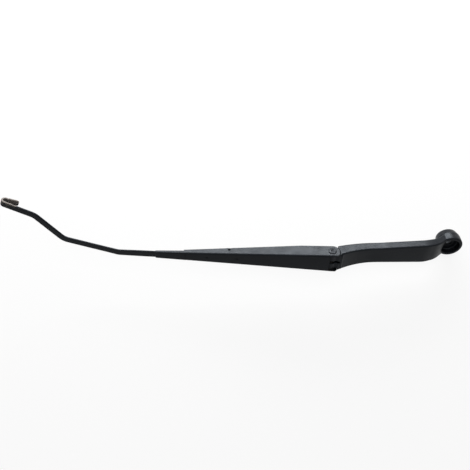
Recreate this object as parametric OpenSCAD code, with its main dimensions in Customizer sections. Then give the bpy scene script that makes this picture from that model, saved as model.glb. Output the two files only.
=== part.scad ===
// Windscreen wiper arm with a cast mounting head, a folded channel, a dog-legged
// hook bar and a tension spring hidden in the channel.
// Origin: spindle axis at the nut seat. +Z points away from the glass, -X runs
// along the arm to the hook, +Y is the side towards which the bar is offset.

/* [Spindle boss] */
// Radius of the boss at its widest
boss_r = 15.4; // [13.5:0.1:18]
// Radius of the boss where it faces the body panel
boss_foot_r = 12.9; // [10:0.1:15]
// Depth of the boss below the nut seat
boss_below = 11.6; // [10:0.1:13]
// Height of the conical part of the boss
boss_cone_h = 8.5; // [4:0.1:12]
// Radius on the outer rim of the boss
boss_rim_round = 2; // [0.5:0.1:3]
// Radius of the recess that takes the nut and its wrench
nut_recess_r = 11.6; // [9:0.1:12.5]
// Depth of the nut recess
nut_recess_depth = 8; // [6:0.1:10]
// Radius of the clearance bore for the threaded spindle
spindle_bore_r = 4.1; // [3.1:0.05:4.6]
// Radius of the tapered spindle seat at its mouth
seat_mouth_r = 5.9; // [5.2:0.1:7]
// Radius of the tapered spindle seat at its narrow end
seat_neck_r = 5.2; // [4.7:0.1:5.2]
// Depth of the tapered spindle seat
seat_depth = 8.1; // [4:0.1:9]

/* [Head beam] */
// Distance from the spindle axis to the hinge pin
hinge_reach = 154; // [120:1:190]
// Height of the hinge pin above the nut seat
hinge_z = 29; // [26:0.5:34]
// Radius about the hinge pin of the shoulder's curved end face
shoulder_gap = 9.8; // [9.6:0.1:12]
// Height of the shoulder's outer face above the hinge pin
shoulder_rise = 6.2; // [4:0.1:6.5]
// Width of the beam at the shoulder
shoulder_w = 28.6; // [26:0.1:32]
// Height of the beam at the shoulder
shoulder_h = 15.9; // [13:0.1:17]
// Length over which the beam steps down from the shoulder
step_run = 51; // [30:1:60]
// Height of the beam's outer face above the nut seat after the step
waist_top = 23.4; // [19:0.1:25]
// Width of the beam at its waist
waist_w = 25.3; // [22:0.1:28]
// Height of the beam at its waist
waist_h = 11.5; // [10:0.1:14]
// Distance from the spindle axis to the root of the beam
root_reach = 34; // [30:1:44]
// Height of the beam's outer face above the nut seat at its root
root_top = 20.9; // [18:0.1:22]
// Width of the beam at its root
root_w = 30; // [26:0.1:33]
// Height of the beam at its root
root_h = 11.3; // [9:0.1:13]
// Distance from the spindle axis to the beam's neck beside the boss
neck_reach = 19; // [16:0.5:24]
// Height of the beam's outer face above the nut seat at its neck
neck_top = 16.9; // [13:0.1:18]
// Width of the beam at its neck
neck_w = 28.2; // [24:0.1:31]
// Height of the beam at its neck
neck_h = 11.2; // [8:0.1:12]
// Radius on the long edges of the beam
beam_round = 1.6; // [1:0.1:2.6]
// Wall of the hollowed underside
pocket_wall = 3.2; // [2.6:0.1:4.5]
// Thickness of the ribs across the hollow
rib_t = 2.2; // [1.4:0.1:4]
// Number of ribs across the hollow
rib_count = 3; // [1:1:5]

/* [Hinge] */
// Radius of the hinge rivet
pin_r = 2.5; // [2:0.05:3]
// Radius of the hinge rivet's heads
pin_head_r = 5; // [4:0.1:6]
// Thickness of the hinge rivet's heads
pin_head_t = 1.5; // [0.8:0.1:2.2]
// Radius of the dimple in the rivet's heads
pin_dimple_r = 1.6; // [0.8:0.1:1.8]
// Depth of the dimple in the rivet's heads
pin_dimple_depth = 0.8; // [0.3:0.1:1.2]
// Radius of the knuckle around the hinge pin
knuckle_r = 6.2; // [5.6:0.1:6.4]
// Wall of the hinge bushes
bush_wall = 1; // [0.7:0.05:1.4]
// Radius of the bush flanges
bush_flange_r = 5.6; // [4.8:0.1:6]
// Thickness of the bush flanges
bush_flange_t = 0.7; // [0.4:0.1:1.2]
// Radial running clearance of the pins
pin_play = 0.04; // [0.02:0.01:0.08]
// Side clearance between the bushes and the ears
ear_play = 0.15; // [0.1:0.05:0.4]

/* [Channel] */
// Outer width of the channel at the hinge
channel_w = 29; // [26:0.5:31]
// Outer width of the channel where its nose begins
nose_root_w = 13.6; // [12.5:0.1:15]
// Outer width of the channel at the tip of its nose
nose_tip_w = 11.2; // [11:0.1:12]
// Distance from the hinge pin to the tip of the nose
channel_len = 219; // [200:1:250]
// Length of the crimped nose
nose_len = 37.5; // [30:0.5:46]
// Height of the crimped nose
nose_h = 5.5; // [5.4:0.1:6.5]
// Thickness of the channel's sheet steel
sheet_t = 1.4; // [1.2:0.05:1.5]
// Outside bend radius of the channel
fold_r = 2; // [1.6:0.1:3]
// Height of the side walls at the hinge
side_h = 16.8; // [16.4:0.1:19]
// Length over which the side walls keep their full height
side_full_len = 38; // [20:1:50]
// Height of the side walls where the nose begins
side_end_h = 6; // [5.8:0.1:8]
// Height of the channel's outer face above the hinge pin
face_rise = 8.2; // [8:0.1:8.6]
// Distance from the hinge pin to the free end of the ears
ear_end = 8.6; // [7.4:0.1:8.8]
// Corner radius of the ears on the glass side
ear_corner_r = 7.6; // [4:0.1:7.6]
// Distance from the hinge pin to the end of the channel's outer face
face_setback = 2.8; // [1:0.1:5]
// Angle by which the closed arm droops towards the glass
arm_droop = 3.8; // [1:0.1:6]

/* [Hook bar] */
// Width of the bar
bar_w = 8.6; // [7:0.1:8.6]
// Thickness of the bar
bar_t = 2.6; // [2.2:0.1:2.7]
// Distance from the hinge pin to the joggle of the bar's tail
tail_reach = 108; // [104:1:116]
// Height by which the tail is set towards the glass
tail_drop = 7.4; // [6:0.1:8]
// Angle of the joggle in the tail
tail_angle = 40; // [30:1:50]
// Length of the flat end of the tail
tail_len = 9; // [8:0.5:12]
// Bend radius of the joggle
joggle_r = 4; // [3:0.5:6]
// Distance from the hinge pin to the first sideways bend
leg_a = 266; // [250:1:300]
// Length of the second leg, between corner points
leg_b = 68; // [50:0.5:80]
// Length of the third leg, between corner points
leg_c = 46; // [32:0.5:60]
// Length of the last leg, from its corner point to the end of the hook
leg_d = 40.2; // [30:0.1:55]
// Angle of the first sideways bend
bend_a = 16.8; // [8:0.1:25]
// Angle of the second sideways bend
bend_b = 37.8; // [20:0.1:45]
// Angle of the third sideways bend, back towards the arm's direction
bend_c = 27.9; // [10:0.1:35]
// Radius of the sideways bends
side_bend_r = 16; // [12:0.5:24]
// Clear gap inside the hook at its bend
hook_gap = 4.8; // [4.2:0.1:8]
// Angle at which the hook's return leg opens away from the bar
hook_flare = 11; // [0:1:16]
// Length of the hook's return leg
return_len = 14.2; // [10:0.1:24]
// Corner radius at the tip of the return leg
tip_round = 3; // [1:0.1:3.4]
// Radius of the rivets that hold the bar
bar_rivet_r = 1.7; // [1.2:0.1:2]
// Radius of the rivets' closing heads
bar_rivet_head_r = 2.9; // [2.2:0.1:3.3]
// Height of the rivets' closing heads
bar_rivet_head_t = 1.1; // [0.6:0.1:1.5]
// Distance from the hinge pin to the rivet nearer the hinge
bar_rivet_reach = 117; // [114:0.5:121]
// Distance between the two bar rivets
bar_rivet_pitch = 36.5; // [30:0.5:44]
// Distance from the hinge pin to the locking tabs
tab_reach = 128; // [125:0.5:140]
// Length of the locking tabs
tab_len = 5; // [3:0.5:7]
// Height of the notch that each tab is lanced from
tab_notch_h = 3.4; // [2:0.1:4]

/* [Spring line] */
// Radius of the anchor pin
anchor_r = 1.8; // [1.4:0.05:2]
// Distance from the hinge pin to the anchor pin
anchor_reach = 6.5; // [6.3:0.05:6.8]
// Angle through which the arm lifts off the glass
lift_angle = 65; // [50:1:70]
// Thickness of the link's plate
link_t = 2.5; // [1.6:0.1:3.4]
// Width of the link's curved part
link_w = 2.8; // [2:0.1:3.4]
// Clearance around the hinge pin inside the link's curve
link_room = 0.6; // [0.3:0.05:0.9]
// Distance from the anchor pin to the link's hole for the spring
link_len = 26; // [23:0.5:30]
// Side clearance of the link in the head's slot
link_play = 0.8; // [0.5:0.1:1.4]
// Radius of the spring wire
wire_r = 0.95; // [0.7:0.05:1.1]
// Mean radius of the spring's coils
coil_r = 4.2; // [3.4:0.1:4.3]
// Number of full turns of the spring
coil_turns = 20; // [14:1:22]
// Mean radius of the spring's end loops
loop_r = 2.8; // [2.4:0.1:3]
// Clearance of the spring wire in its holes
wire_play = 0.35; // [0.2:0.05:0.6]
// Distance from the hole in the bar's tail to its end
tail_end_margin = 4; // [3.4:0.1:5]

/* [Hidden] */
$fn = 64;

// Thickness of the thin slices that are joined into tapered bodies.
slice = 0.02;

// Hinge and its fits, across the arm; the channel narrows along the flanges.
nose_root = channel_len - nose_len;
ear_inner = channel_w / 2 - sheet_t;
flange_taper = bush_flange_r * (channel_w - nose_root_w) / 2 / nose_root;
knuckle_half = ear_inner - flange_taper - ear_play - bush_flange_t;
bush_r = pin_r + pin_play + bush_wall;
slot_half = link_t / 2 + link_play;

// Height of the bar's middle plane above the hinge pin, against the channel's face.
bar_z = face_rise - sheet_t - bar_t / 2;
hook_r = hook_gap / 2 + bar_t / 2;

// Hole in the bar's tail, in the arm's own frame.
joggle_x = 2 * joggle_r * sin(tail_angle) + joggle_leg() * cos(tail_angle);
tail_end = tail_reach - joggle_x - tail_len;
hole_x = tail_end + tail_end_margin;
hole_z = bar_z - tail_drop;

// The same hole seen from the head, at rest.
hole_px = -hole_x * cos(arm_droop) - hole_z * sin(arm_droop);
hole_pz = -hole_x * sin(arm_droop) + hole_z * cos(arm_droop);

// The anchor lies midway, so that the spring is as long when the arm is closed
// as when it is lifted, and longest in between, which holds the arm at each end.
hole_dir = atan2(-hole_pz, -hole_px);
anchor_dir = hole_dir - lift_angle / 2;
anchor_x = anchor_reach * cos(anchor_dir);
anchor_z = anchor_reach * sin(anchor_dir);
line_x = hole_px - anchor_x;
line_z = hole_pz - anchor_z;
line_len = sqrt(line_x * line_x + line_z * line_z);
line_dir = atan2(line_z, -line_x);

// Link: the curve clears the hinge pin at both ends of its swing.
pin_side = anchor_reach * sin(line_dir - anchor_dir);
pin_along = anchor_reach * cos(line_dir - anchor_dir);
curve_r = pin_side + pin_r + link_room;
link_eye_r = anchor_reach - pin_r - 0.4;
hook_eye_r = loop_hole_r(link_t) + 1.5;

// Radius of a hole that passes one of the spring's loops through a plate.
function loop_hole_r(plate) = wire_r + wire_play + loop_r - sqrt(loop_r * loop_r - plate * plate / 4);

// Height of the side walls at a distance from the hinge pin.
function side_at(u) = u <= side_full_len
    ? side_h
    : side_h + (side_end_h - side_h) * (u - side_full_len) / (nose_root - side_full_len);
function width_at(u) = channel_w + (nose_root_w - channel_w) * max(0, u) / nose_root;

// Straight length between the two bends of the tail's joggle.
function joggle_leg() = (tail_drop - 2 * joggle_r * (1 - cos(tail_angle))) / sin(tail_angle);

// Distance from a bend's corner point to where its arc starts.
function setback(angle) = side_bend_r * tan(angle / 2);

// Outline of a rectangle with rounded corners, centred on the origin.
function rounded_box(w, h, r) = [
    for (corner = [0:3])
        let (sx = corner == 0 || corner == 3 ? 1 : -1)
        let (sy = corner < 2 ? 1 : -1)
        for (step = [0:5])
            let (angle = corner * 90 + step * 18)
            [sx * (w / 2 - r) + r * cos(angle), sy * (h / 2 - r) + r * sin(angle)]
];

// Outline of a channel section: square at the open side, rounded at the face.
function channel_outline(w, h, r) = concat(
    [[-h, -w / 2]],
    [for (step = [0:6]) [-r + r * sin(step * 15), -w / 2 + r - r * cos(step * 15)]],
    [for (step = [0:6]) [-r + r * cos(step * 15), w / 2 - r + r * sin(step * 15)]],
    [[-h, w / 2]]
);

// Stations of the head's beam: position, outer face, height and width.
shoulder_x = sqrt(shoulder_gap * shoulder_gap - shoulder_rise * shoulder_rise) + 0.4 - hinge_reach;
shoulder_top = hinge_z + shoulder_rise;
function fade(t) = (1 - t) * (1 - t);
function step_station(t) = [
    shoulder_x + t * step_run,
    waist_top + (shoulder_top - waist_top) * fade(t),
    waist_h + (shoulder_h - waist_h) * fade(t),
    waist_w + (shoulder_w - waist_w) * fade(t)
];
boss_join_x = -boss_r / 2;
boss_join_w = 2 * boss_r * cos(32);
stations = [
    step_station(0),
    step_station(1 / 3),
    step_station(2 / 3),
    step_station(1),
    [-root_reach, root_top, root_h, root_w],
    [-neck_reach, neck_top, neck_h, neck_w],
    [boss_join_x, nut_recess_depth, nut_recess_depth + boss_below / 4, boss_join_w]
];

// Places a piece at the hinge, level with the head.
module at_hinge() {
    translate([-hinge_reach, 0, hinge_z])
        children();
}

// Places a piece in the arm's own frame: hinge pin at the origin, hook along -X.
module on_arm() {
    at_hinge()
        rotate([0, -arm_droop, 0])
            children();
}

// Places a piece in the spring's frame: anchor pin at the origin, spring along -X.
module on_spring_line() {
    at_hinge()
        translate([anchor_x, 0, anchor_z])
            rotate([0, line_dir, 0])
                children();
}

// Turns a shape drawn in X and Y so that it stands in X and Z, centred on Y.
module across(depth) {
    rotate([90, 0, 0])
        translate([0, 0, -depth / 2])
            linear_extrude(depth)
                children();
}

// A round bar across the arm.
module cross_bar(r, depth) {
    rotate([90, 0, 0])
        cylinder(r = r, h = depth, center = true);
}

// One thin slice of the beam.
module beam_slice(station) {
    translate([station[0], 0, station[1] - station[2] / 2])
        rotate([0, -90, 0])
            linear_extrude(slice)
                polygon(rounded_box(station[2], station[3], beam_round));
}

// Solid body of the beam, from the shoulder to the boss.
module beam_body() {
    for (i = [0:len(stations) - 2])
        hull() {
            beam_slice(stations[i]);
            beam_slice(stations[i + 1]);
        }
}

// Side view of the hollow under the beam.
module pocket_side() {
    polygon(concat(
        [for (i = [0:4]) [stations[i][0], stations[i][1] - pocket_wall]],
        [[stations[4][0], -boss_below], [stations[0][0], -boss_below]]
    ));
}

// Plan of the hollow under the beam.
module pocket_plan() {
    polygon(concat(
        [for (i = [0:4]) [stations[i][0], stations[i][3] / 2 - pocket_wall]],
        [for (i = [4:-1:0]) [stations[i][0], pocket_wall - stations[i][3] / 2]]
    ));
}

// Hollow under the beam, with its ribs left standing.
module beam_pocket() {
    pocket_start = shoulder_x + pocket_wall + 4;
    pocket_end = -root_reach - 2;
    pitch = (pocket_end - pocket_start) / (rib_count + 1);
    difference() {
        intersection() {
            across(2 * root_w)
                pocket_side();
            translate([0, 0, -boss_below])
                linear_extrude(3 * hinge_z)
                    pocket_plan();
            translate([pocket_start, -root_w, -boss_below])
                cube([pocket_end - pocket_start, 2 * root_w, 3 * hinge_z]);
        }
        for (i = [1:rib_count])
            translate([pocket_start + i * pitch - rib_t / 2, -root_w, -boss_below])
                cube([rib_t, 2 * root_w, 3 * hinge_z]);
    }
}

// Boss with a conical foot and a rounded rim.
module boss_body() {
    top = nut_recess_depth;
    rotate_extrude($fn = 96)
        polygon(concat(
            [[0, -boss_below], [boss_foot_r, -boss_below]],
            [[boss_r, boss_cone_h - boss_below], [boss_r, top - boss_rim_round]],
            [for (step = [1:5]) [
                boss_r - boss_rim_round * (1 - cos(step * 18)),
                top - boss_rim_round * (1 - sin(step * 18))
            ]],
            [[0, top]]
        ));
}

// Side view of the hinge knuckle and its neck.
module knuckle_side() {
    neck = shoulder_gap + 3;
    neck_top = knuckle_r * sin(20);
    circle(r = knuckle_r);
    polygon([
        [0, -knuckle_r],
        [neck, shoulder_rise - shoulder_h + beam_round],
        [neck, neck_top],
        [knuckle_r * cos(20), neck_top],
        [0, 0]
    ]);
}

// Cast head: boss, beam and forked hinge knuckle in one piece.
module mounting_head() {
    color([0.10, 0.11, 0.12])
        difference() {
            union() {
                boss_body();
                difference() {
                    beam_body();
                    at_hinge()
                        cross_bar(shoulder_gap, 2 * channel_w);
                }
                at_hinge()
                    across(2 * knuckle_half)
                        knuckle_side();
            }
            beam_pocket();
            cylinder(r = nut_recess_r, h = 3 * nut_recess_depth);
            translate([0, 0, -boss_below - 1])
                cylinder(r = spindle_bore_r, h = boss_below + 2);
            translate([0, 0, -boss_below])
                cylinder(r1 = seat_mouth_r, r2 = seat_neck_r, h = seat_depth);
            at_hinge() {
                cross_bar(bush_r, 2 * channel_w);
                translate([anchor_x, 0, anchor_z])
                    cross_bar(anchor_r, 2 * (slot_half + 6));
                translate([-2 * knuckle_r, -slot_half, -shoulder_h])
                    cube([
                        2 * knuckle_r + anchor_x + link_eye_r + 0.5,
                        2 * slot_half,
                        2 * shoulder_h
                    ]);
            }
        }
}

// Flanged bush in one lug of the knuckle.
module hinge_bush(side) {
    color([0.62, 0.55, 0.35])
        at_hinge()
            rotate([-90 * side, 0, 0])
                difference() {
                    union() {
                        translate([0, 0, slot_half])
                            cylinder(r = bush_r, h = knuckle_half - slot_half + bush_flange_t);
                        translate([0, 0, knuckle_half])
                            cylinder(r = bush_flange_r, h = bush_flange_t);
                    }
                    cylinder(r = pin_r + pin_play, h = channel_w);
                }
}

// Pin across the slot of the head, which the link hangs on.
module anchor_pin() {
    color([0.55, 0.56, 0.58])
        at_hinge()
            translate([anchor_x, 0, anchor_z])
                cross_bar(anchor_r, 2 * (slot_half + 6));
}

// Thin slice of the channel's outer form at a distance from the hinge pin.
module channel_slice(u, w, h) {
    translate([-u, 0, face_rise])
        rotate([0, -90, 0])
            linear_extrude(slice)
                polygon(channel_outline(w, h, fold_r));
}

// Thin slice of the space inside the channel.
module hollow_slice(u) {
    translate([-u, 0, face_rise - sheet_t])
        rotate([0, -90, 0])
            linear_extrude(slice)
                polygon(channel_outline(width_at(u) - 2 * sheet_t, side_h, fold_r - sheet_t));
}

// Thin slice of the crimped nose, rounded all round.
module nose_slice(u, w) {
    translate([-u, 0, face_rise - nose_h / 2])
        rotate([0, -90, 0])
            linear_extrude(slice)
                polygon(rounded_box(nose_h, w, fold_r));
}

// Side view of the ears beyond the hinge pin.
module ear_side() {
    low = face_rise - side_h;
    translate([-2 * side_full_len, low])
        square([2 * side_full_len, side_h]);
    translate([ear_end - face_rise, 0])
        circle(r = face_rise);
    translate([ear_end - ear_corner_r, low + ear_corner_r])
        circle(r = ear_corner_r);
    translate([-1, low + ear_corner_r])
        square([1 + ear_end, -low - ear_corner_r]);
    translate([-1, low])
        square([1 + ear_end - ear_corner_r, ear_corner_r]);
}

// Notch in the lower edge of both side walls, where the tabs are lanced.
module tab_notch() {
    low = face_rise - side_at(tab_reach);
    across(2 * channel_w)
        polygon([
            [-tab_reach - tab_len / 2, low - 1],
            [-tab_reach - tab_len / 5, low + tab_notch_h],
            [-tab_reach + tab_len / 5, low + tab_notch_h],
            [-tab_reach + tab_len / 2, low - 1]
        ]);
}

// Tabs bent in under the bar from both side walls.
module locking_tabs() {
    reach = width_at(tab_reach) / 2 - sheet_t / 2;
    under = bar_z - bar_t / 2;
    inner = bar_w / 4;
    for (side = [-1, 1])
        translate([-tab_reach, side * (reach + inner) / 2, under - sheet_t / 2])
            cube([tab_len, reach - inner, sheet_t], center = true);
}

// Folded sheet channel with ears at the hinge and a crimped nose.
module retainer_channel() {
    color([0.13, 0.14, 0.16])
        on_arm()
            difference() {
                union() {
                    difference() {
                        union() {
                            intersection() {
                                hull() {
                                    channel_slice(-ear_end, channel_w, side_h);
                                    channel_slice(side_full_len, width_at(side_full_len), side_h);
                                }
                                across(2 * channel_w)
                                    ear_side();
                            }
                            hull() {
                                channel_slice(side_full_len, width_at(side_full_len), side_h);
                                channel_slice(nose_root, nose_root_w, side_end_h);
                            }
                        }
                        hull() {
                            hollow_slice(-2 * ear_end);
                            hollow_slice(0);
                        }
                        hull() {
                            hollow_slice(0);
                            hollow_slice(nose_root - sheet_t);
                        }
                        tab_notch();
                    }
                    hull() {
                        nose_slice(nose_root - 2, nose_root_w);
                        nose_slice(channel_len, nose_tip_w);
                    }
                    locking_tabs();
                }
                translate([-face_setback, -ear_inner, 0])
                    cube([2 * ear_end, 2 * ear_inner, 2 * face_rise]);
                cross_bar(pin_r, 2 * channel_w);
                bar_straight_cut();
                rivet_holes();
            }
}

// Room for the bar in the nose, with the seam between the folded lips.
module bar_straight_cut() {
    translate([-tail_reach, 0, bar_z])
        bar_straight(channel_len);
    translate([-channel_len - 1, -bar_w / 5, -face_rise])
        cube([nose_len + 4, bar_w / 2.5, face_rise + bar_z]);
}

// Holes for the rivets that hold the bar.
module rivet_holes() {
    for (i = [0:1])
        translate([-bar_rivet_reach - i * bar_rivet_pitch, 0, 0])
            cylinder(r = bar_rivet_r, h = 2 * face_rise);
}

// Section of the bar: flat with fully rounded edges, width along Y.
module bar_section() {
    square([bar_t, bar_w - bar_t], center = true);
    for (side = [-1, 1])
        translate([0, side * (bar_w - bar_t) / 2])
            circle(d = bar_t);
}

// Straight run of the bar along -X.
module bar_straight(length) {
    rotate([0, -90, 0])
        linear_extrude(length)
            bar_section();
}

// Unit vector along a vector.
function unit(v) = v / norm(v);

// A vector turned about a unit axis.
function turned(v, axis, angle) =
    v * cos(angle) + cross(axis, v) * sin(angle) + axis * (axis * v) * (1 - cos(angle));

// Direction of a path at one of its points.
function heading(path, i) = unit(path[min(i + 1, len(path) - 1)] - path[max(i - 1, 0)]);

// Side directions carried along a path without twist.
function carried(path, i, last) = i == len(path)
    ? []
    : let (d = heading(path, i))
      let (n = unit(last - d * (last * d)))
      concat([n], carried(path, i + 1, n));

// Outline of a round wire.
function round_outline(r, sides) = [
    for (k = [0:sides - 1]) [r * cos(k * 360 / sides), r * sin(k * 360 / sides)]
];

// An outline swept along a path; its first coordinate starts towards +Z. The
// last rings can be narrowed, each to a share of the outline's width.
module sweep(path, outline, tip_shares = []) {
    normals = carried(path, 0, [0, 0, 1]);
    count = len(path);
    sides = len(outline);
    points = [
        for (i = [0:count - 1])
            let (n = normals[i])
            let (b = cross(heading(path, i), n))
            let (from_tip = i - count + len(tip_shares))
            let (share = from_tip < 0 ? 1 : tip_shares[from_tip])
            for (k = [0:sides - 1])
                path[i] + outline[k][0] * n + outline[k][1] * share * b
    ];
    walls = [
        for (i = [0:count - 2])
            for (k = [0:sides - 1])
                let (j = (k + 1) % sides)
                for (far = [0, 1])
                    far == 1
                        ? [(i + 1) * sides + k, (i + 1) * sides + j, i * sides + j]
                        : [(i + 1) * sides + k, i * sides + j, i * sides + k]
    ];
    ends = [
        [for (k = [0:sides - 1]) k],
        [for (k = [sides - 1:-1:0]) (count - 1) * sides + k]
    ];
    polyhedron(points, concat(walls, ends));
}

// The bar's runs in order: straight length, bend angle, bend radius, and whether
// the bend is on the flat. A flat bend turns to the glass, a side bend to +Y.
bar_runs = [
    [tail_len, -tail_angle, joggle_r, true],
    [joggle_leg(), tail_angle, joggle_r, true],
    [leg_a - tail_reach - setback(bend_a), bend_a, side_bend_r, false],
    [leg_b - setback(bend_a) - setback(bend_b), bend_b, side_bend_r, false],
    [leg_c - setback(bend_b) - setback(bend_c), -bend_c, side_bend_r, false],
    [leg_d - setback(bend_c) - hook_r - bar_t / 2, 180 - hook_flare, hook_r, true],
    [return_len - tip_round, 0, 0, true],
    for (step = [1:6])
        [tip_round * (sin(15 * step) - sin(15 * (step - 1))), 0, 0, true]
];

// Widths of the last rings, which round the corners of the return leg's tip.
bar_tip = [for (step = [0:6]) 1 - 2 * tip_round * (1 - cos(15 * step)) / bar_w];

// Outline of the bar: flat with fully rounded edges, thickness first.
bar_outline = [
    for (side = [1, -1])
        for (step = [0:8])
            [
                side * bar_t / 2 * cos(step * 22.5),
                side * ((bar_w - bar_t) / 2 + bar_t / 2 * sin(step * 22.5))
            ]
];

// Centre line of the bar from a point, heading and face direction.
function bar_path(p, d, n, i) = i == len(bar_runs)
    ? []
    : let (run = bar_runs[i])
      let (start = p + run[0] * d)
      let (axis = run[3] ? cross(n, d) : -n)
      let (arm = sign(run[1]) * run[2] * cross(axis, d))
      let (steps = ceil(abs(run[1]) / 9))
      let (arc = [
          for (step = [1:steps])
              start + arm - turned(arm, axis, run[1] * step / steps)
      ])
      concat(
          i == 0 ? [p] : [],
          [start],
          arc,
          bar_path(
              steps > 0 ? arc[steps - 1] : start,
              turned(d, axis, run[1]),
              turned(n, axis, run[1]),
              i + 1
          )
      );

// Steel bar from the spring's hole in its tail to the blade hook.
module hook_bar() {
    color([0.15, 0.15, 0.16])
        on_arm()
            difference() {
                sweep(bar_path([-tail_end, 0, hole_z], [-1, 0, 0], [0, 0, 1], 0), bar_outline, bar_tip);
                translate([-hole_x, 0, hole_z])
                    cylinder(r = loop_hole_r(bar_t), h = 4 * bar_t, center = true);
                rivet_holes();
            }
}

// Two rivets through the channel's face and the bar, flush outside.
module bar_rivets() {
    color([0.20, 0.20, 0.21])
        on_arm()
            for (i = [0:1])
                translate([-bar_rivet_reach - i * bar_rivet_pitch, 0, bar_z - bar_t / 2]) {
                    cylinder(r = bar_rivet_r, h = sheet_t + bar_t);
                    translate([0, 0, -bar_rivet_head_t])
                        cylinder(r1 = bar_rivet_r, r2 = bar_rivet_head_r, h = bar_rivet_head_t);
                }
}

// Hinge rivet with a dimpled head outside each ear.
module hinge_pin() {
    color([0.45, 0.47, 0.50])
        at_hinge()
            difference() {
                union() {
                    cross_bar(pin_r, channel_w);
                    for (side = [-1, 1])
                        rotate([-90 * side, 0, 0])
                            translate([0, 0, channel_w / 2])
                                rivet_head();
                }
                for (side = [-1, 1])
                    rotate([-90 * side, 0, 0])
                        translate([0, 0, channel_w / 2 + pin_head_t - pin_dimple_depth])
                            cylinder(r1 = pin_dimple_r / 2, r2 = pin_dimple_r, h = pin_dimple_depth);
            }
}

// Low domed head, resting on the plane of the ear.
module rivet_head() {
    rotate_extrude()
        polygon([
            [0, 0],
            [pin_head_r, 0],
            [pin_head_r, pin_head_t * 0.35],
            [pin_head_r * 0.94, pin_head_t * 0.7],
            [pin_head_r * 0.8, pin_head_t * 0.93],
            [pin_head_r * 0.66, pin_head_t],
            [0, pin_head_t]
        ]);
}

// Outline of the link, anchor at the origin and spring along -X.
module link_outline() {
    circle(r = link_eye_r);
    difference() {
        translate([-pin_along, 0])
            circle(r = curve_r + link_w);
        translate([-pin_along, 0])
            circle(r = curve_r);
        translate([-3 * curve_r, 0])
            square([6 * curve_r, 3 * curve_r]);
    }
    translate([-link_len, -hook_eye_r])
        square([link_len - pin_along - curve_r, 2 * hook_eye_r]);
    translate([-link_len, 0])
        circle(r = hook_eye_r);
}

// Flat link that curves round the hinge pin between the anchor and the spring.
module spring_link() {
    color([0.40, 0.41, 0.43])
        on_spring_line()
            difference() {
                across(link_t)
                    link_outline();
                cross_bar(anchor_r + pin_play, 2 * link_t);
                translate([-link_len, 0, 0])
                    cross_bar(loop_hole_r(link_t), 2 * link_t);
            }
}

// Centre line of the spring, from its loop in the link to its loop in the bar.
coil_start = link_len + 2 * loop_r + 1.5;
coil_end = line_len - 2 * loop_r - 1.5;
coil_steps = 12 * coil_turns + 3;
spring_path = concat(
    [for (angle = [300:-30:90]) [
        -(link_len + loop_r + loop_r * cos(angle)),
        loop_r * sin(angle),
        0
    ]],
    [for (i = [0:coil_steps]) [
        -(coil_start + (coil_end - coil_start) * i / coil_steps),
        coil_r * cos(i * 30),
        coil_r * sin(i * 30)
    ]],
    [for (angle = [90:-30:-120]) [
        -(line_len - loop_r + loop_r * cos(angle)),
        0,
        loop_r * sin(angle)
    ]]
);

// Tension spring with a loop at each end, a quarter turn apart.
module tension_spring() {
    color([0.50, 0.51, 0.53])
        on_spring_line()
            sweep(spring_path, round_outline(wire_r, 6));
}

mounting_head();
hinge_bush(1);  // hinge_bush_left
hinge_bush(-1);  // hinge_bush_right
anchor_pin();
retainer_channel();
hook_bar();
bar_rivets();
hinge_pin();
spring_link();
tension_spring();
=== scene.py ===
"""A windscreen wiper arm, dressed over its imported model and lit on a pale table.

Every length in the classes is in millimetres and every angle in degrees, in the
row frame: the spindle axis at the nut seat is the origin, +Z points away from the
glass, -X runs along the arm to the hook and +Y is the side to which the bar is
offset. Meshes are written in metres.
"""

import logging
import math
from dataclasses import dataclass
from enum import Enum
from typing import Iterable, Optional

import bpy
import numpy as np
from mathutils import Matrix


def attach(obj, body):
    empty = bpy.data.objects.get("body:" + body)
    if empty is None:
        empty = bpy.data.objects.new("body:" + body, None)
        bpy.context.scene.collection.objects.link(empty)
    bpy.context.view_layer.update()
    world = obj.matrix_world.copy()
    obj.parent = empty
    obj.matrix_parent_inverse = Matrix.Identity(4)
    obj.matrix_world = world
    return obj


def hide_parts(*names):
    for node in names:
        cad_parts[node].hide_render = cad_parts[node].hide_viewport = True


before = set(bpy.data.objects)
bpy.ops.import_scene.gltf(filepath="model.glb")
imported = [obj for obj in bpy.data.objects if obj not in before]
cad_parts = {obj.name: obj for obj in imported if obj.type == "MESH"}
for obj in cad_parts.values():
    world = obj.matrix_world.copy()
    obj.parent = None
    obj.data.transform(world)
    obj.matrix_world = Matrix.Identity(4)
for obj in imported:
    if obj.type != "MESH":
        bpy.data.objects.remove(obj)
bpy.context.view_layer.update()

log = logging.getLogger("wiper_arm")

Array = np.ndarray
Values = np.ndarray | float
Pair = tuple[float, float]
Triple = tuple[float, float, float]
Piece = bpy.types.Object
Finish = bpy.types.Material
Socket = bpy.types.NodeSocket

MM = 0.001
# Half the length of a rod or block that cuts right through a piece.
THROUGH = 20.0
UPWARD = np.array([0.0, 0.0, 1.0])


class Body(Enum):
    """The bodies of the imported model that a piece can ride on."""

    HEAD = "head"
    ARM = "arm"
    SPRING = "spring_line"


class Axis(Enum):
    """The axes of the row frame, by the number of their coordinate."""

    X = 0
    Y = 1
    Z = 2


class Step(Enum):
    """What is done with closed pieces, by the boolean modifier's names."""

    ADD = "UNION"
    CUT = "DIFFERENCE"


def points_from(*coordinates: Values) -> Array:
    """Stacks coordinates into points. One that stays the same can be a number."""
    return np.stack(np.broadcast_arrays(*coordinates), axis=-1)


def along(axis: Axis, depth: Values, first: Values, second: Values) -> Array:
    """Makes points from a depth along an axis and two coordinates across it.

    Args:
        axis: The axis.
        depth: The coordinate along it.
        first: The first of the other two coordinates.
        second: The second one.

    Returns:
        The points.
    """
    coordinates = [first, second]
    coordinates.insert(axis.value, depth)
    return points_from(*coordinates)


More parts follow.
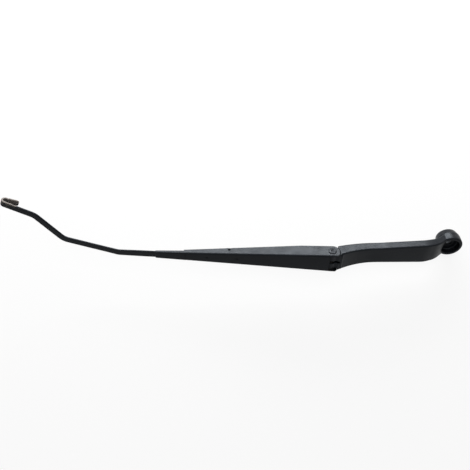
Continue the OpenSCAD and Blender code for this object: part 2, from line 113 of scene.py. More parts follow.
def arc(radius: float, start: float, end: float, steps: int, centre: tuple = (0.0, 0.0)) -> Array:
    """Returns points on an arc, or on one arc for each row of centres."""
    turn = np.radians(np.linspace(start, end, steps))
    return points_from(centre[0] + radius * np.cos(turn), centre[1] + radius * np.sin(turn))


def with_mirror(outline: Array) -> Array:
    """Adds the mirror image in the first coordinate, run backwards."""
    return np.concatenate([outline, outline[..., ::-1, :] * np.array([-1.0, 1.0])], axis=-2)


def unit(vectors: Array) -> Array:
    """Scales vectors to the length 1."""
    return vectors / np.linalg.norm(vectors, axis=-1, keepdims=True)


def spin(vectors: Array, axes: Array, angles: Values) -> Array:
    """Turns vectors about unit axes.

    The part along the axis stays. The rest is scaled by the cosine, and the cross
    product of axis and vector, scaled by the sine, is added.
    """
    kept, a = axes * (axes * vectors).sum(-1, keepdims=True), np.radians(angles)
    return kept + (vectors - kept) * np.cos(a) + np.cross(axes, vectors) * np.sin(a)


def lengths_along(path: Array) -> Array:
    """Returns how far along the path each of its points lies."""
    return np.concatenate([[0.0], np.cumsum(np.linalg.norm(np.diff(path, axis=0), axis=1))])


@dataclass(frozen=True)
class Place:
    """A turn about the Y axis followed by a shift, for whole arrays of points."""

    shift: Triple = (0.0, 0.0, 0.0)
    turn: float = 0.0

    def put(self, points: Array) -> Array:
        """Turns an array of points about +Y and shifts it, to the row frame.

        Args:
            points: Points in the place's own frame.

        Returns:
            Points in the row frame.
        """
        cos, sin = math.cos(math.radians(self.turn)), math.sin(math.radians(self.turn))
        x, y, z = np.moveaxis(points, -1, 0)
        return points_from(x * cos + z * sin, y, z * cos - x * sin) + np.array(self.shift)

    def at(self, x: float, z: float) -> "Place":
        """Returns this place moved to a point of its own frame."""
        return Place(tuple(self.put(np.array([x, 0.0, z]))), self.turn)


@dataclass(frozen=True)
class FlatBar:
    """Section and joggled tail of the flat bar, and the sheet that is folded over it."""

    sheet: float = 1.4
    wide: float = 8.6
    thick: float = 2.6
    height: float = 5.5
    tail_reach: float = 108.0
    tail_drop: float = 7.4
    tail_angle: float = 40.0
    tail_len: float = 9.0
    tail_margin: float = 4.0
    joggle_r: float = 4.0

    def tail_start(self) -> Pair:
        """Works out the joggle, whose two arcs and straight part give the drop.

        Returns:
            Distance from the pin to the bar's end, and the length of the straight part.
        """
        a = math.radians(self.tail_angle)
        leg = (self.tail_drop - 2 * self.joggle_r * (1 - math.cos(a))) / math.sin(a)
        run = 2 * self.joggle_r * math.sin(a) + leg * math.cos(a)
        return self.tail_reach - run - self.tail_len, leg

    def hole(self) -> Pair:
        """Returns the spring hole's x and z in the arm's frame."""
        return -(self.tail_start()[0] + self.tail_margin), self.height - self.tail_drop


@dataclass(frozen=True)
class Hinge:
    """The hinge between head and arm, with the anchor and the hole of the spring line."""

    hole: Pair
    reach: float = 154.0
    height: float = 29.0
    droop: float = 3.8
    lift: float = 65.0
    pin_r: float = 2.5
    bush_r: float = 3.54
    knuckle_half: float = 12.01
    slot_half: float = 2.05
    anchor_r: float = 1.8
    anchor_reach: float = 6.5
    anchor_grip: float = 6.0

    def level(self) -> Place:
        """Returns the place of pieces that sit at the hinge, level with the head."""
        return Place((-self.reach, 0.0, self.height))

    def arm(self) -> Place:
        """Returns the arm's own frame: pin at the origin, hook along -X."""
        return Place((-self.reach, 0.0, self.height), -self.droop)

    def hole_seen(self) -> Pair:
        """Returns the x and z of the bar's spring hole from the pin, at rest."""
        x, _, z = Place(turn=-self.droop).at(*self.hole).shift
        return float(x), float(z)

    def anchor(self) -> Pair:
        """Works out where the link is anchored in the head.

        It lies at `anchor_reach` in the direction that halves the lift, so the
        spring is as long when the arm is closed as when it is lifted.

        Returns:
            The anchor's x and z from the pin.
        """
        x, z = self.hole_seen()
        direction = math.atan2(-z, -x) - math.radians(self.lift) / 2
        return self.anchor_reach * math.cos(direction), self.anchor_reach * math.sin(direction)

    def line(self) -> tuple[Place, float]:
        """Works out the line from the anchor to the bar's hole.

        Returns:
            The line's own frame, and its length.
        """
        (ax, az), (hx, hz) = self.anchor(), self.hole_seen()
        turn = math.degrees(math.atan2(hz - az, ax - hx))
        return Place(self.level().at(ax, az).shift, turn), math.hypot(hx - ax, hz - az)


def smooth_faces(obj: Piece) -> None:
    """Shades every face of a piece smoothly."""
    obj.data.polygons.foreach_set("use_smooth", np.ones(len(obj.data.polygons), dtype=bool))


def mesh_from(name: str, points: Array, quads: Array, caps: Iterable[Array] = ()) -> Piece:
    """Makes an object from arrays of points and faces.

    Args:
        name: The object's name.
        points: Points in millimetres, one row each.
        quads: Four point numbers a row.
        caps: Point numbers of each end face, in order round its rim.

    Returns:
        The object, at the origin, with smooth faces.
    """
    loops = [quads.reshape(-1), *caps]
    sizes = np.array([4] * len(quads) + [len(cap) for cap in caps], dtype=np.int32)
    mesh = bpy.data.meshes.new(name)
    mesh.vertices.add(len(points))
    mesh.vertices.foreach_set("co", (points * MM).astype(np.float32).reshape(-1))
    mesh.loops.add(int(sizes.sum()))
    mesh.loops.foreach_set("vertex_index", np.concatenate(loops).astype(np.int32))
    mesh.polygons.add(len(sizes))
    mesh.polygons.foreach_set("loop_start", (np.cumsum(sizes) - sizes).astype(np.int32))
    mesh.update(calc_edges=True)
    mesh.validate()
    obj = bpy.data.objects.new(name, mesh)
    bpy.context.scene.collection.objects.link(obj)
    smooth_faces(obj)
    return obj


def loft(name: str, rings: Array, joined: bool = False) -> Piece:
    """Ties closed rings into one closed skin.

    Point k of ring i is tied to point k + 1 of that ring and to point k of ring
    i + 1. The last ring is tied to the first one, or a flat face closes each end.
    Fans of triangles to the origin give the skin's volume, and a skin whose volume
    is negative is turned over.

    Args:
        name: The object's name.
        rings: Array of rings, points and coordinates.
        joined: Whether the last ring is tied to the first.

    Returns:
        The new object.
    """
    count, sides = rings.shape[:2]
    i, k = np.meshgrid(np.arange(count - (not joined)), np.arange(sides), indexing="ij")
    i, i2, k2 = i * sides, (i + 1) % count * sides, (k + 1) % sides
    faces = points_from(i + k, i + k2, i2 + k2, i2 + k).reshape(-1, 4)
    rim = np.arange(sides)
    caps = [] if joined else [rim[::-1], (count - 1) * sides + rim]
    points = rings.reshape(-1, 3)

    def volume(corners: Array) -> float:
        """Returns six times the volume between some faces and the origin."""
        return np.einsum("ik,ijk->", corners[:, 0], np.cross(corners[:, 1:-1], corners[:, 2:]))

    if volume(points[faces]) + sum(volume(points[cap][None]) for cap in caps) < 0:
        faces, caps = faces[:, ::-1], [cap[::-1] for cap in caps]
    return mesh_from(name, points, faces, caps)


def slab(name: str, outline: Array, ends: Pair, axis: Axis, place: Place) -> Piece:
    """Makes a plate of a flat outline, between two depths along an axis."""
    u, v = np.transpose(outline)
    return loft(name, place.put(np.array([along(axis, depth, u, v) for depth in ends])))


def turned(
    name: str, profile: Array, axis: Axis, place: Place, sides: int = 64, joined: bool = False
) -> Piece:
    """Spins a profile about an axis.

    Each profile point (radius, height) becomes a circle of that radius at that
    height. Flat faces close the first and last circles, or they are joined.

    Args:
        name: The object's name.
        profile: Radius and height of each point.
        axis: The axis of the circles.
        place: Where the piece goes.
        sides: Points on each circle.
        joined: Whether the profile closes on itself, to a ring with a bore.

    Returns:
        The new object.
    """
    cos, sin = arc(1.0, 0, 360, sides + 1)[:-1].T
    r, h = np.transpose(profile)[..., None]
    return loft(name, place.put(along(axis, h, r * cos, r * sin)), joined)


def rod(
    name: str, radius: float, axis: Axis, place: Place, half: float = THROUGH, sides: int = 64
) -> Piece:
    """Makes a plain round rod, as long on one side of its place as on the other."""
    return turned(name, [[radius, -half], [radius, half]], axis, place, sides)


def rectangle(left: float, right: float, low: float, high: float) -> Array:
    """Returns a rectangle's corners."""
    return np.array([[left, low], [right, low], [right, high], [left, high]])


def carried_frames(path: Array) -> tuple[Array, Array]:
    """Finds directions across a path that don't twist round it.

    Each point starts with any direction square to the path. Turning one point's
    direction the way the path turns and comparing it with the next one's gives a
    small angle, and the running sum of those angles is the twist to take out.

    Args:
        path: Points of the centre line.

    Returns:
        Two unit directions at each point, square to the path and to each other.
    """
    t = unit(np.gradient(path, axis=0))
    axes = np.eye(3)[np.argmin(np.abs(t), axis=1)]
    n = unit(axes - (axes * t).sum(1, keepdims=True) * t)
    k = np.cross(t[:-1], t[1:])
    sin = np.linalg.norm(k, axis=1, keepdims=True)
    bend = np.degrees(np.arctan2(sin, (t[:-1] * t[1:]).sum(1, keepdims=True)))
    moved = spin(n[:-1], k / np.maximum(sin, 1e-12), bend)
    side = np.cross(t[1:], moved)
    step = np.arctan2((n[1:] * side).sum(1), (n[1:] * moved).sum(1))
    twist = np.concatenate([[0.0], np.cumsum(step)])[:, None]
    first = n * np.cos(twist) - np.cross(t, n) * np.sin(twist)
    return first, np.cross(t, first)


def swept(
    name: str, path: Array, outline: Array, place: Place, shares: Optional[Array] = None
) -> Piece:
    """Carries an outline along a path, its first coordinate upward at the start.

    Args:
        name: The object's name.
        path: Points of the centre line.
        outline: Points of the outline.
        place: Where the piece goes.
        shares: Share of the outline's second coordinate kept at each point.

    Returns:
        The closed swept skin.
    """
    n, b = carried_frames(path)
    turn = math.atan2(float(np.dot(UPWARD, b[0])), float(np.dot(UPWARD, n[0])))
    first = n * math.cos(turn) + b * math.sin(turn)
    second = b * math.cos(turn) - n * math.sin(turn)
    if shares is not None:
        second = second * shares[:, None]
    across = outline[None, :, 0:1] * first[:, None] + outline[None, :, 1:2] * second[:, None]
    return loft(name, place.put(path[:, None] + across))


def rounded_boxes(high: Array, wide: Array, radius: float, steps: int = 7) -> Array:
    """Outlines rectangles with rounded corners.

    Args:
        high: Their heights.
        wide: Their widths.
        radius: Radius of the corners.
        steps: Points on each corner.

    Returns:
        One outline for each size, height first.
    """
    u, v = high[:, None] / 2 - radius, wide[:, None] / 2 - radius
    quarters = ((1, 1, 0), (-1, 1, 90), (-1, -1, 180), (1, -1, 270))
    corners = [arc(radius, a, a + 90, steps, (s * u, t * v)) for s, t, a in quarters]
    return np.concatenate(corners, axis=1)


def eased(x: Array, values: Array, window: float) -> Array:
    """Rounds a polyline's corners by a sliding average, with its two ends kept.

    Args:
        x: Evenly spaced positions.
        values: The polyline's value at each of them.
        window: Width of the average.

    Returns:
        The rounded values.
    """
    width = max(3, int(window / abs(x[1] - x[0])) | 1)
    left = 2 * values[0] - values[1 : width // 2 + 1][::-1]
    right = 2 * values[-1] - values[-width // 2 : -1][::-1]
    padded = np.concatenate([left, values, right])
    return np.convolve(padded, np.ones(width) / width, mode="valid")[: len(values)]


def finished(obj: Piece) -> Piece:
    """Applies an object's modifiers to its mesh.

    Args:
        obj: The object.

    Returns:
        The same object.
    """
    bpy.context.view_layer.update()
    graph = bpy.context.evaluated_depsgraph_get()
    mesh = bpy.data.meshes.new_from_object(obj.evaluated_get(graph), depsgraph=graph)
    obj.modifiers.clear()
    old, obj.data = obj.data, mesh
    bpy.data.meshes.remove(old)
    return obj


def combined(obj: Piece, others: Iterable[Piece], step: Step) -> Piece:
    """Adds closed pieces to another, or cuts them from it, in turn.

    Args:
        obj: The piece that changes.
        others: The other pieces, which are removed.
        step: Whether they are added or cut.

    Returns:
        The changed piece.
    """
    for other in others:
        boolean = obj.modifiers.new("step", "BOOLEAN")
        boolean.operation, boolean.object, boolean.solver = step.value, other, "EXACT"
        finished(obj)
        bpy.data.objects.remove(other)
    return obj


def softened(obj: Piece, width: float, angle: float = 40.0, segments: int = 2) -> Piece:
    """Breaks the sharp edges of a piece.

    Args:
        obj: The piece.
        width: Width of the round.
        angle: Only edges sharper than this are rounded.
        segments: Steps in each round.

    Returns:
        The piece, with its shading led by its large faces.
    """
    bevel = obj.modifiers.new("edges", "BEVEL")
    bevel.width, bevel.segments = width * MM, segments
    bevel.limit_method, bevel.angle_limit = "ANGLE", math.radians(angle)
    bevel.use_clamp_overlap, bevel.harden_normals = True, False
    smooth_faces(finished(obj))
    normals = obj.modifiers.new("shading", "WEIGHTED_NORMAL")
    normals.keep_sharp, normals.weight = True, 80
    return finished(obj)


def cast(obj: Piece, voxel: float, passes: int) -> None:
    """Gives a piece the soft edges and fillets of a casting.

    The piece is filled with a grid of cubes of the voxel's size, its surface drawn
    again over them, and every point moved towards its neighbours in some passes.

    Args:
        obj: The piece.
        voxel: Edge of a cube.
        passes: How many passes are made.
    """
    grid = obj.modifiers.new("grid", "REMESH")
    grid.mode, grid.voxel_size, grid.adaptivity = "VOXEL", voxel * MM, 0.0
    finished(obj)
    smooth = obj.modifiers.new("smooth", "SMOOTH")
    smooth.factor, smooth.iterations = 0.5, passes
    smooth_faces(finished(obj))


def merged(obj: Piece, *others: Piece) -> Piece:
    """Puts the meshes of other objects into one object.

    Args:
        obj: The object that stays.
        others: The objects that it takes over.

    Returns:
        The object with all meshes.
    """
    chosen = [obj, *others]
    with bpy.context.temp_override(active_object=obj, selected_editable_objects=chosen, object=obj):
        bpy.ops.object.join()
    return obj


def mark(obj: Piece, name: str, values: Array) -> None:
    """Stores one number for each point of a piece, for its material to read."""
    attribute = obj.data.attributes.new(name, "FLOAT", "POINT")
    attribute.data.foreach_set("value", values.astype(np.float32))


@dataclass(frozen=True)
class Pattern:
    """Noise with some patches in a metre and some layers of finer noise.

    The noise below and above its two ends counts as the ends themselves. It can be
    stretched along each axis, for streaks.
    """

    scale: float
    layers: float
    ends: Pair = (0.3, 0.7)
    stretch: Optional[Triple] = None


class Nodes:
    """The node tree of a material or world, with short ways to fill it."""

    def __init__(self, owner: bpy.types.ID) -> None:
        """Takes the tree of its owner."""
        owner.use_nodes = True
        self.owner, self.tree = owner, owner.node_tree

    def node(self, kind: str) -> bpy.types.Node:
        """Adds a node of a kind."""
        return self.tree.nodes.new("ShaderNode" + kind)

    def fill(self, node: bpy.types.Node, inputs: dict) -> None:
        """Joins each input to a socket, or sets it to a number, vector or colour.

        Args:
            node: The node.
            inputs: Socket or value by the input's name or number.
        """
        for key, value in inputs.items():
            target = node.inputs[key]
            if isinstance(value, Socket):
                self.tree.links.new(value, target)
            else:
                target.default_value = (*value, 1.0) if target.type == "RGBA" else value

    def add(self, kind: str, inputs: dict, output: str | int = 0, **options: str) -> Socket:
        """Adds a node with its options and inputs, and returns one of its outputs.

        Args:
            kind: The node's type.
            inputs: Socket or value by the input's name or number.
            output: Name or number of the output.
            options: Further settings of the node.

        Returns:
            The output.
        """
        node = self.node(kind)
        for option, choice in options.items():
            setattr(node, option, choice)
        self.fill(node, inputs)
        return node.outputs[output]

    def noise(self, pattern: Pattern) -> Socket:
        """Adds the noise of a pattern.

        Args:
            pattern: The pattern.

        Returns:
            The noise, from 0 to 1.
        """
        place = self.node("TexCoord").outputs["Object"]
        if pattern.stretch:
            place = self.add("Mapping", {"Vector": place, "Scale": pattern.stretch})
        inputs = {"Vector": place, "Scale": pattern.scale, "Detail": pattern.layers}
        return self.add("TexNoise", inputs, "Fac")

    def ramp(self, value: Socket, stops: Iterable[tuple[float, Triple]]) -> Socket:
        """Turns a value into a colour by stops of position and colour.

        Args:
            value: The value.
            stops: Position and colour of each stop.

        Returns:
            The colour.
        """
        ramp = self.node("ValToRGB")
        elements = ramp.color_ramp.elements
        while len(elements) < len(stops):
            elements.new(0.5)
        for element, (position, colour) in zip(elements, stops):
            element.position, element.color = position, (*colour, 1.0)
        self.fill(ramp, {"Fac": value})
        return ramp.outputs["Color"]

    def span(self, value: Socket, low: float, high: float, to_low: float, to_high: float) -> Socket:
        """Stretches a value from one range to another, held at the ends."""
        ends = {"From Min": low, "From Max": high, "To Min": to_low, "To Max": to_high}
        return self.add("MapRange", {"Value": value, **ends}, "Result")

    def spread(self, pattern: Pattern, low: float, high: float) -> Socket:
        """Stretches the noise between a pattern's ends to a low and a high value."""
        return self.span(self.noise(pattern), *pattern.ends, low, high)

    def tone(self, pattern: Pattern, dark: Triple, light: Triple) -> Socket:
        """Colours the noise from dark to light between a pattern's ends."""
        return self.ramp(self.noise(pattern), tuple(zip(pattern.ends, (dark, light))))

    def math(self, operation: str, a: Socket, b: Socket | float) -> Socket:
        """Adds a sum, product or the like of two values."""
        return self.add("Math", {0: a, 1: b}, operation=operation)

    def mix(self, factor: Socket, a: Socket, b: Socket | Triple) -> Socket:
        """Mixes a colour with another by a factor."""
        return self.add("Mix", {"Factor": factor, "A": a, "B": b}, "Result", data_type="RGBA")

    def bump(self, height: Socket, depth: float, strength: float) -> Socket:
        """Raises the surface by a height value of a depth in millimetres."""
        inputs = {"Strength": strength, "Distance": depth * MM, "Height": height}
        return self.add("Bump", inputs, "Normal")

    def seen(self) -> Socket:
        """Tells rays that look at a surface from rays that only light it.

        Returns:
            1 for camera, glossy and transmission rays, 0 for all others.
        """
        path = self.node("LightPath").outputs
        sharp = self.math("MAXIMUM", path["Is Camera Ray"], path["Is Glossy Ray"])
        return self.math("MAXIMUM", sharp, path["Is Transmission Ray"])

    def surface(self, inputs: dict) -> Finish:
        """Fills the Principled shader and returns the finished material."""
        self.fill(self.tree.nodes["Principled BSDF"], inputs)
        return self.owner


@dataclass(frozen=True)
class BlackCoating:
    """Semi-gloss black coating on steel or a casting, with light wear."""

    name: str
    dark: Triple = (0.0024, 0.0028, 0.0037)
    light: Triple = (0.0060, 0.0067, 0.0084)
    worn: Triple = (0.085, 0.080, 0.074)
    gloss: Pair = (0.30, 0.43)
    shine: float = 0.11
    tint: Triple = (0.82, 0.91, 1.0)
    wear: float = 0.30
    wear_rough: float = 0.45
    clouds: Pattern = Pattern(38.0, 6.0, (0.32, 0.70))
    streaks: Pattern = Pattern(1.0, 5.0, (0.60, 0.78), (55.0, 420.0, 420.0))
    specks: Pattern = Pattern(900.0, 3.0, (0.45, 0.62))
    sheen: Pattern = Pattern(120.0, 5.0)
    grain: Pattern = Pattern(1500.0, 3.0)
    grain_depth: float = 0.02
    grain_strength: float = 0.6
    waves: Pattern = Pattern(260.0, 2.0)
    wave_share: float = 0.8
    ragged: Pattern = Pattern(420.0, 6.0)
    ragged_by: float = 0.30
    bare_ends: Pair = (0.46, 0.60)
    rust_mark: Optional[str] = None
    rust_rough: float = 0.18
    rust_tones: Pattern = Pattern(600.0, 5.0)
    rust: tuple[tuple[float, Triple], ...] = (
        (0.30, (0.060, 0.048, 0.040)),
        (0.50, (0.110, 0.098, 0.089)),
        (0.72, (0.165, 0.152, 0.141)),
    )

    def make(self) -> Finish:
        """Builds the coating.

        Broad noise varies the black, long faint streaks and specks are handled
        marks, a fine noise is the coating's grain, and where a mark is given the
        coating is rubbed through to brown steel.

        Returns:
            The material.
        """
        n = Nodes(bpy.data.materials.new(self.name))
        colour = n.tone(self.clouds, self.dark, self.light)
        streak, speck = n.spread(self.streaks, 0.0, 1.0), n.spread(self.specks, 0.0, self.wear)
        marks = n.math("MULTIPLY", streak, speck)
        colour = n.mix(marks, colour, self.worn)
        rough = n.spread(self.sheen, *self.gloss)
        rough = n.math("ADD", rough, n.math("MULTIPLY", marks, self.wear_rough))
        if self.rust_mark:
            ragged = n.spread(self.ragged, -self.ragged_by, self.ragged_by)
            rubbed = n.add("Attribute", {}, "Fac", attribute_name=self.rust_mark)
            bare = n.span(n.math("ADD", rubbed, ragged), *self.bare_ends, 0.0, 1.0)
            colour = n.mix(bare, colour, n.ramp(n.noise(self.rust_tones), self.rust))
            rough = n.math("ADD", rough, n.math("MULTIPLY", bare, self.rust_rough))
        waves = n.math("MULTIPLY", n.noise(self.waves), self.wave_share)
        height = n.math("ADD", n.noise(self.grain), waves)
        return n.surface({
            "Base Color": colour, "Roughness": rough, "Specular IOR Level": self.shine,
            "Specular Tint": self.tint,
            "Normal": n.bump(height, self.grain_depth, self.grain_strength),
        })


@dataclass(frozen=True)
class BareMetal:
    """Plain metal with a ground, oiled or sintered surface. Its base colour is far darker than bare
    metal: partly oil and phosphate, partly painted shade for parts deep inside the arm.
    """

    name: str
    dark: Triple
    light: Triple
    gloss: Pair
    metal: float
    clouds: Pattern = Pattern(300.0, 6.0, (0.33, 0.68))
    stains: Pattern = Pattern(90.0, 4.0, (0.55, 0.75))
    stain_cover: float = 0.6
    stain_tone: float = 0.45
    sheen: Pattern = Pattern(700.0, 4.0)
    grain: Pattern = Pattern(1800.0, 3.0)
    grain_depth: float = 0.015
    grain_strength: float = 0.5

    def make(self) -> Finish:
        """Builds the metal: noises vary its tone, its stains, its gloss and its grain.

        Returns:
            The material.
        """
        n = Nodes(bpy.data.materials.new(self.name))
        colour = n.tone(self.clouds, self.dark, self.light)
        stain = n.spread(self.stains, 0.0, self.stain_cover)
        grain = n.bump(n.noise(self.grain), self.grain_depth, self.grain_strength)
        return n.surface({
            "Base Color": n.mix(stain, colour, tuple(self.stain_tone * c for c in self.dark)),
            "Roughness": n.spread(self.sheen, *self.gloss),
            "Metallic": self.metal, "Normal": grain,
        })


@dataclass(frozen=True)
class Finishes:
    """Every finish of the arm."""

    head: BlackCoating = BlackCoating(
        "cast_black_coating", grain=Pattern(1100.0, 3.0), grain_depth=0.03, shine=0.125
    )
    channel: BlackCoating = BlackCoating("sheet_black_coating")
    bar: BlackCoating = BlackCoating(
        "bar_black_coating", gloss=(0.32, 0.46), grain_depth=0.008, rust_mark="rubbed"
    )
    rivet: BlackCoating = BlackCoating(
        "rivet_black_coating", dark=(0.006, 0.0065, 0.0078), light=(0.014, 0.0148, 0.0170),
        worn=(0.12, 0.12, 0.125), gloss=(0.34, 0.46), shine=0.14, wear=0.6,
    )
    # Pin, bushes, link and spring sit deep in the head and channel. Their near-black base colours
    # are partly oil and phosphate, partly painted shade.
    pin: BareMetal = BareMetal(
        "ground_pin_steel_painted_shade", (0.045, 0.046, 0.049), (0.085, 0.087, 0.091), (0.42, 0.58), 0.7
    )
    bush: BareMetal = BareMetal(
        "oiled_sintered_bronze_painted_shade", (0.022, 0.018, 0.013), (0.052, 0.041, 0.029), (0.50, 0.65), 0.6
    )
    link: BareMetal = BareMetal(
        "phosphated_link_steel_painted_shade", (0.018, 0.0185, 0.020), (0.042, 0.043, 0.046), (0.50, 0.65), 0.7
    )
    spring: BareMetal = BareMetal(
        "oiled_spring_wire_painted_shade", (0.026, 0.027, 0.030), (0.070, 0.072, 0.077), (0.36, 0.54), 0.7
    )


def dress(obj: Piece, material: Finish, slot: str, body: Body, *nodes: str) -> None:
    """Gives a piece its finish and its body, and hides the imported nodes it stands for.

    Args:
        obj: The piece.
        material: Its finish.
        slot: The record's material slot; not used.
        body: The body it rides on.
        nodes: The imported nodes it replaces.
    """
    obj.data.materials.clear()
    obj.data.materials.append(material)
    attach(obj, body.value)
    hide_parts(*nodes)
    log.info("%s: %d faces", obj.name, len(obj.data.polygons))


@dataclass
class MountingHead:
    """Cast head: tapered boss, stepped beam with a hollow underside, knuckle.

    The shoulder, waist, root and neck of the beam each have a level, a height and
    a width. The shoulder's level counts from the pin, and the others' from the seat.
    """

    hinge: Hinge
    boss_r: float = 15.4
    foot_r: float = 12.9
    below: float = 11.6
    cone_h: float = 8.5
    rim_round: float = 2.0
    recess_r: float = 11.6
    recess: float = 8.0
    recess_round: float = 1.0
    recess_draft: float = 0.1
    bore_r: float = 4.1
    seat: Triple = (5.9, 5.2, 8.1)
    shoulder_gap: float = 9.8
    shoulder: Triple = (6.2, 15.9, 28.6)
    shoulder_lap: float = 0.4
    step_run: float = 51.0
    waist: Triple = (23.4, 11.5, 25.3)
    root_reach: float = 34.0
    root: Triple = (20.9, 11.3, 30.0)
    neck_reach: float = 19.0
    neck: Triple = (16.9, 11.2, 28.2)
    boss_entry: float = 32.0
    ease: float = 9.0
    edge_round: float = 1.6
    wall: float = 3.2
    rib: float = 2.2
    ribs: int = 3
    hollow_ends: Pair = (4.0, 2.0)
    draft: float = 0.97
    knuckle_r: float = 6.2
    bridge_angle: float = 46.0
    bridge_drop: float = 0.5
    bridge_laps: Pair = (3.0, 2.2)
    eye_room: float = 4.1
    voxel: float = 0.55
    passes: int = 4
    stations: int = 70

    def lines(self) -> tuple[Array, ...]:
        """Works out the beam's outer face, height and width along its length.

        The step falls as the square of the distance left to the waist, straight
        lines lead on to the root and to the boss, and every corner is eased.

        Returns:
            Positions, outer faces, heights and widths.
        """
        rise, high, wide = self.shoulder
        start = math.sqrt(self.shoulder_gap**2 - rise**2) + self.shoulder_lap - self.hinge.reach
        end = -self.boss_r / 2
        x = np.linspace(start, end, self.stations)
        fade = (1 - np.clip((x - start) / self.step_run, 0, 1)) ** 2
        knots = [start + self.step_run, -self.root_reach, -self.neck_reach, end]
        chord = 2 * self.boss_r * math.cos(math.radians(self.boss_entry))
        inside = (self.recess, self.recess + self.below / 4, chord)
        shoulder = (self.hinge.height + rise, high, wide)
        made = [x]
        for first, *later in zip(shoulder, self.waist, self.root, self.neck, inside):
            made.append(eased(x, np.interp(x, knots, later) + (first - later[0]) * fade, self.ease))
        return tuple(made)

    def beam(self) -> Piece:
        """Lofts rounded sections along the beam.

        Returns:
            The closed piece.
        """
        x, top, high, wide = self.lines()
        flat = rounded_boxes(high, wide, self.edge_round)
        z = flat[..., 0] + (top - high / 2)[:, None]
        return loft("head_casting", points_from(x[:, None], flat[..., 1], z))

    def boss(self) -> Piece:
        """Spins the boss: conical foot, straight band and rounded rim.

        Returns:
            The closed piece.
        """
        r = self.rim_round
        foot = [[self.foot_r, -self.below], [self.boss_r, self.cone_h - self.below]]
        rim = arc(r, 0, 90, 9, (self.boss_r - r, self.recess - r))
        return turned("boss", np.concatenate([foot, rim]), Axis.Z, Place(), 128)

    def knuckle(self) -> Piece:
        """Draws the hinge knuckle round the pin, with its neck to the beam.

        Returns:
            The closed piece.
        """
        rise, high, _ = self.shoulder
        top, neck = rise - self.bridge_drop, self.shoulder_gap + self.bridge_laps[0]
        tail = [
            [neck, rise - high + self.edge_round], [neck, top],
            [self.shoulder_gap - self.bridge_laps[1], top],
        ]
        outline = np.concatenate([arc(self.knuckle_r, self.bridge_angle, 270, 50), tail])
        half = self.hinge.knuckle_half
        return slab("knuckle", outline, (-half, half), Axis.Y, self.hinge.level())

    def hollows(self) -> list[Piece]:
        """Makes the hollows under the beam, one between each pair of ribs.

        Returns:
            The pieces to cut out.
        """
        x, top, _, wide = self.lines()
        start = x[0] + self.wall + self.hollow_ends[0]
        walls = np.linspace(start, -self.root_reach - self.hollow_ends[1], self.ribs + 2)
        low, high = walls[:-1].copy(), walls[1:].copy()
        low[1:] += self.rib / 2
        high[:-1] -= self.rib / 2
        cells = []
        for u in np.linspace(low, high, 8, axis=1):
            roof = np.interp(u, x, top) - self.wall
            half = np.interp(u, x, wide) / 2 - self.wall
            foot, head = (half, -self.below), (half * self.draft, roof)
            corners = [(s * y, z) for s, (y, z) in zip((-1, 1, 1, -1), (foot, foot, head, head))]
            rings = np.stack([points_from(u, y, z) for y, z in corners], axis=1)
            cells.append(loft("hollow", rings))
        return cells

    def cuts(self) -> list[Piece]:
        """Makes the recess, bores and the slot for the link.

        Returns:
            The pieces to cut out.
        """
        hinge, level, base = self.hinge, self.hinge.level(), -self.below
        mouth, neck, depth = self.seat
        recess = [
            [self.recess_r - self.recess_round, 0], [self.recess_r, self.recess_round],
            [self.recess_r + self.recess_draft, 2 * THROUGH],
        ]
        taper = [[mouth, base - THROUGH], [mouth, base], [neck, base + depth]]
        ax, az = hinge.anchor()
        box = rectangle(-2 * self.knuckle_r, ax + self.eye_room, -THROUGH, THROUGH)
        deep = hinge.slot_half + hinge.anchor_grip
        return [
            turned("recess", recess, Axis.Z, Place(), 96),
            rod("bore", self.bore_r, Axis.Z, Place()),
            turned("taper", taper, Axis.Z, Place()),
            rod("bush", hinge.bush_r, Axis.Y, level),
            rod("anchor", hinge.anchor_r, Axis.Y, level.at(ax, az), deep),
            slab("slot", box, (-hinge.slot_half, hinge.slot_half), Axis.Y, level),
        ]

    def build(self, finish: Finish) -> None:
        """Joins the forms, cuts the hollows and softens it all as a casting.

        Args:
            finish: The casting's coating.
        """
        end = rod("end", self.shoulder_gap, Axis.Y, self.hinge.level(), sides=96)
        head = combined(self.beam(), [end], Step.CUT)
        combined(head, [self.boss(), self.knuckle()], Step.ADD)
        combined(head, self.hollows() + self.cuts(), Step.CUT)
        cast(head, self.voxel, self.passes)
        dress(head, finish, "head_paint", Body.HEAD, "mounting_head")


